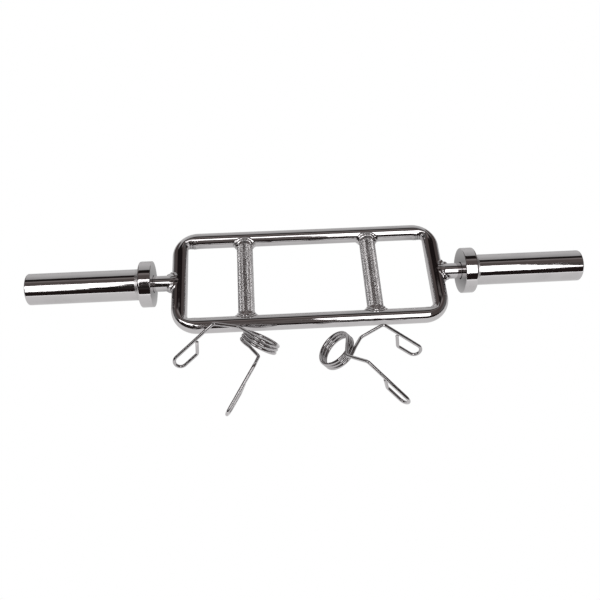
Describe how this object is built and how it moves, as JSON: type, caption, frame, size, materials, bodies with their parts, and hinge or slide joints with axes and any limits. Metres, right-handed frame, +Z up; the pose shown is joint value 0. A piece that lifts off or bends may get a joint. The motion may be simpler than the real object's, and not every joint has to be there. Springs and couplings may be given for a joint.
{
  "type": "triceps bar",
  "caption": "Welded rectangular triceps bar with knurled cross grips, rotating plate sleeves with stop collars, and sprung wire clips lying beside it.",
  "frame": {"origin": "middle of the whole part's footprint, on the floor", "axes": "+X along the bar towards its right end, +Y from the clips towards the bar's rear rail, +Z up"},
  "size_m": [0.8924, 0.3358, 0.074],
  "materials": {
    "chrome": "bright polished chrome plate on steel",
    "knurled_chrome": "fine diamond knurl under chrome plate, grainy mid grey",
    "plated_weld": "rippled weld bead under bright chrome plate",
    "spring_wire": "bright plated spring steel wire",
    "machined_steel": "bare machined steel",
    "bush_bronze": "plain turned bearing bronze",
    "black_plastic": "black moulded plastic, fine grain"
  },
  "bodies": {
    "frame": {"front_rail": "chrome", "rear_rail": "chrome", "left_grip": "knurled_chrome", "right_grip": "knurled_chrome", "front_left_grip_weld": "plated_weld", "rear_left_grip_weld": "plated_weld", "front_right_grip_weld": "plated_weld", "rear_right_grip_weld": "plated_weld", "left_spindle": "chrome", "right_spindle": "chrome", "left_spindle_weld": "plated_weld", "right_spindle_weld": "plated_weld", "left_thrust_washer": "machined_steel", "right_thrust_washer": "machined_steel", "left_retaining_washer": "machined_steel", "right_retaining_washer": "machined_steel", "left_end_bolt": "machined_steel", "right_end_bolt": "machined_steel"},
    "left_sleeve_assembly": {"left_collar": "chrome", "left_sleeve": "chrome", "left_inner_bush": "bush_bronze", "left_outer_bush": "bush_bronze", "left_end_cap": "black_plastic"},
    "right_sleeve_assembly": {"right_collar": "chrome", "right_sleeve": "chrome", "right_inner_bush": "bush_bronze", "right_outer_bush": "bush_bronze", "right_end_cap": "black_plastic"},
    "left_clip": {"left_clip_coil": "spring_wire", "left_clip_far_handle": "spring_wire"},
    "right_clip": {"right_clip_coil": "spring_wire", "right_clip_far_handle": "spring_wire"},
    "left_clip_lever": {"left_clip_near_handle": "spring_wire"},
    "right_clip_lever": {"right_clip_near_handle": "spring_wire"}
  },
  "joints": [
    {"name": "left_sleeve_spin", "type": "hinge", "parent": "frame", "child": "left_sleeve_assembly", "pos_m": [-0.352, 0.08051, 0.037], "axis": [1, 0, 0], "continuous": true},
    {"name": "right_sleeve_spin", "type": "hinge", "parent": "frame", "child": "right_sleeve_assembly", "pos_m": [0.352, 0.08051, 0.037], "axis": [1, 0, 0], "continuous": true},
    {"name": "left_clip_lift", "type": "slide", "parent": "frame", "child": "left_clip", "axis": [0, 0, 1], "range_m": [0, 0.25]},
    {"name": "right_clip_lift", "type": "slide", "parent": "frame", "child": "right_clip", "axis": [0, 0, 1], "range_m": [0, 0.25]},
    {"name": "left_clip_squeeze", "type": "hinge", "parent": "left_clip", "child": "left_clip_lever", "pos_m": [-0.0824, -0.04744, 0.02549], "axis": [0.4823, 0.5189, 0.7058], "range_deg": [0, 35], "stiffness_Nm_per_rad": 11.5, "deforming": ["left_clip_coil"]},
    {"name": "right_clip_squeeze", "type": "hinge", "parent": "right_clip", "child": "right_clip_lever", "pos_m": [0.0301, -0.07124, 0.02488], "axis": [-0.668, 0.1121, 0.7356], "range_deg": [0, 30], "stiffness_Nm_per_rad": 11.5, "deforming": ["right_clip_coil"]}
  ]
}
